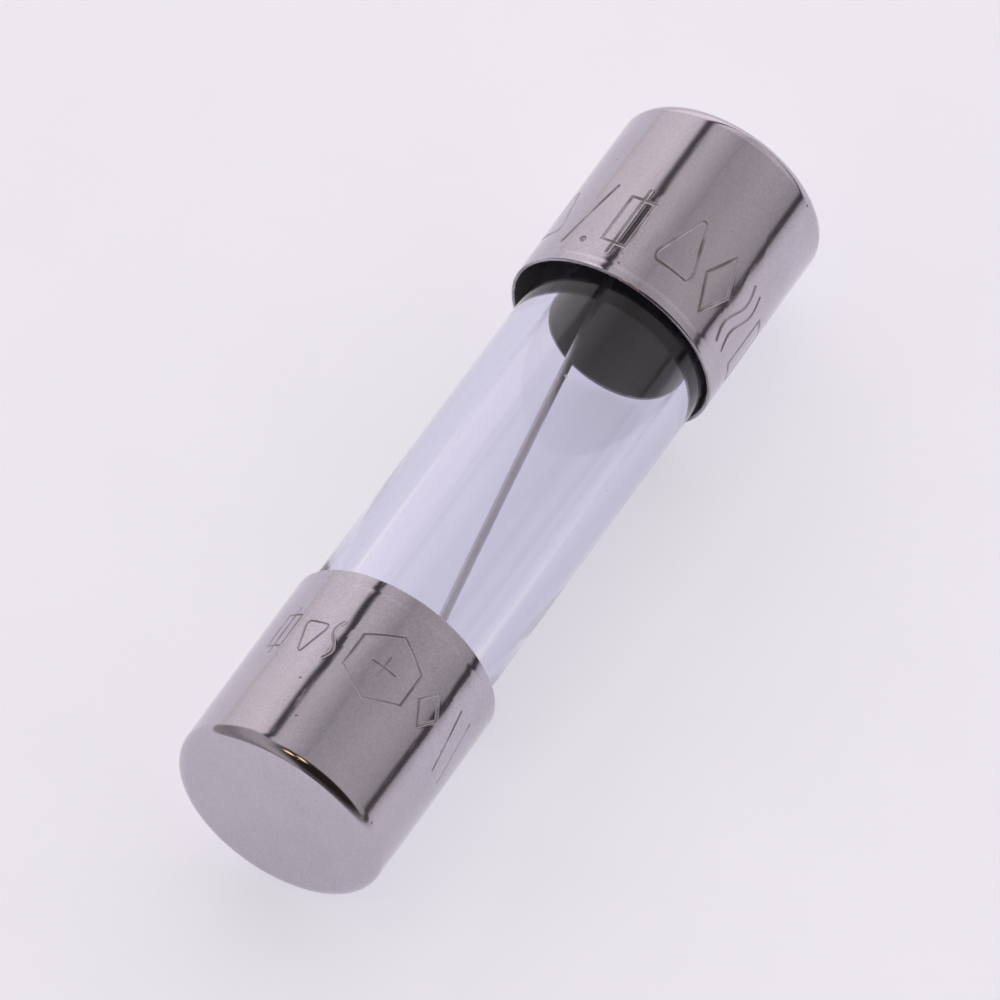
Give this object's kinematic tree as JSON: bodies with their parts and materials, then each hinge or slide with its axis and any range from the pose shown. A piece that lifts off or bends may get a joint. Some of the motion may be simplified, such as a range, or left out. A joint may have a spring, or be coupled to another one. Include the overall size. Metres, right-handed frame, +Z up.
{
  "type": "cartridge fuse",
  "caption": "Cylindrical glass cartridge fuse, 5 x 20 mm: a clear tube with a flat-ended nickel-plated metal cap on each end and a wire running diagonally through its bore.",
  "frame": {"origin": "centre of the fuse, on the tube's axis, half way between the two caps' end faces", "axes": "+X along the tube from the near cap to the far cap, +Z up with the fuse lying on its side, +Y towards the side where the wire's far fold lies"},
  "size_m": [0.02, 0.0054, 0.0052],
  "materials": {
    "nickel_plate": "polished",
    "clear_glass": "polished",
    "tinned_wire": "satin",
    "solder": "satin"
  },
  "bodies": {
    "root": {"glass_tube": "clear_glass", "end_cap_near": "nickel_plate", "end_cap_far": "nickel_plate", "fuse_wire": "tinned_wire", "solder_near": "solder", "solder_far": "solder"}
  },
  "joints": []
}
